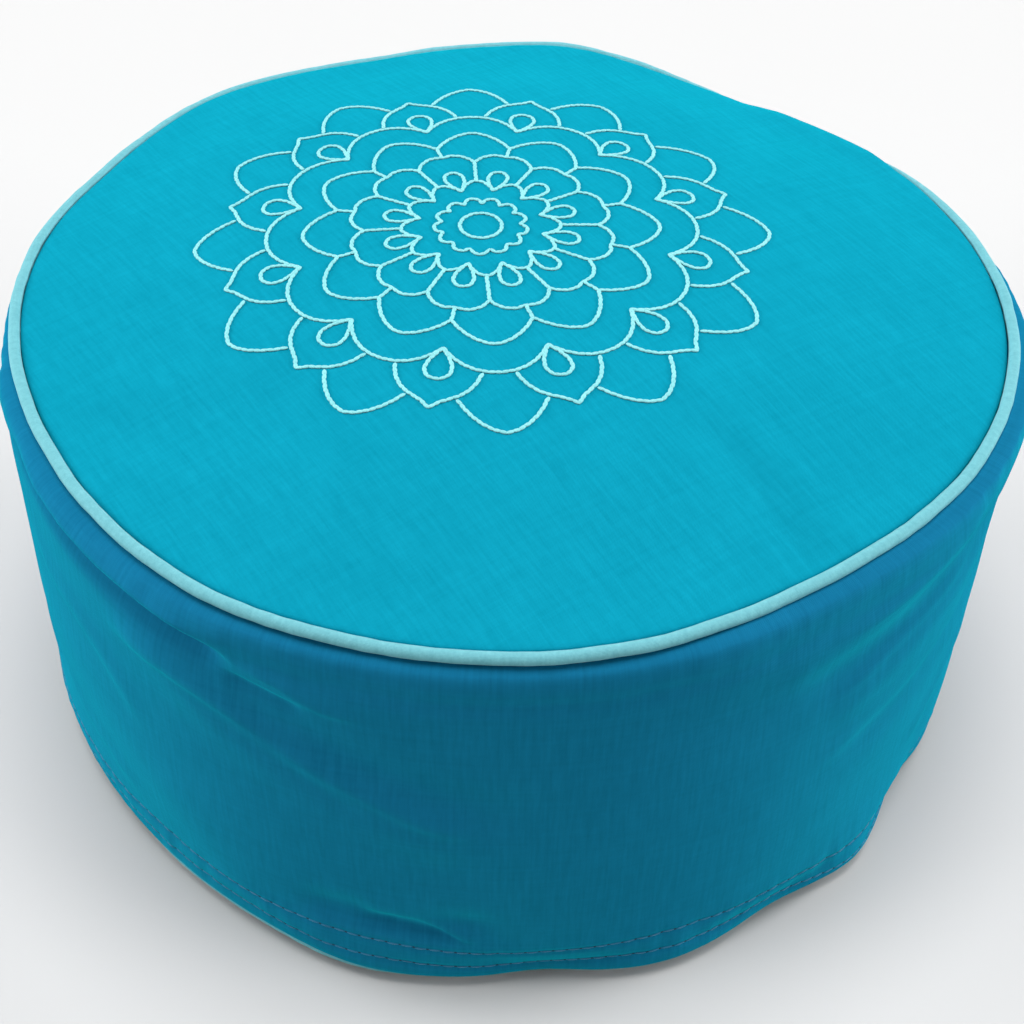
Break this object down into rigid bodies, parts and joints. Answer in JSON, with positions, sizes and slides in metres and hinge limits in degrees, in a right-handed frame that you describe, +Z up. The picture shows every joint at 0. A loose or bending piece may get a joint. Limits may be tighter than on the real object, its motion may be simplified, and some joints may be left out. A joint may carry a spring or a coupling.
{
  "type": "zafu meditation cushion",
  "caption": "Round filled sitting cushion with a crowned top panel, a tall side band with soft creases, and piped seams.",
  "frame": {"origin": "middle of the flat underside, on the surface that the cushion stands on", "axes": "+Z up through the middle of the crown, -Y towards the side that faces the viewer in the picture, +X to the right of that viewer"},
  "size_m": [0.3507, 0.348, 0.1793],
  "materials": {
    "band_cloth": "plain woven cotton canvas, deep turquoise, matt",
    "top_cloth": "plain woven cotton canvas, bright turquoise, matt, with a pale embroidered rosette",
    "piping_cloth": "bias-cut cotton over a cord, pale aqua, matt"
  },
  "bodies": {
    "root": {"filled_side_band": "band_cloth", "top_panel": "top_cloth", "bottom_panel": "band_cloth", "top_piping": "piping_cloth", "bottom_piping": "piping_cloth"}
  },
  "joints": []
}
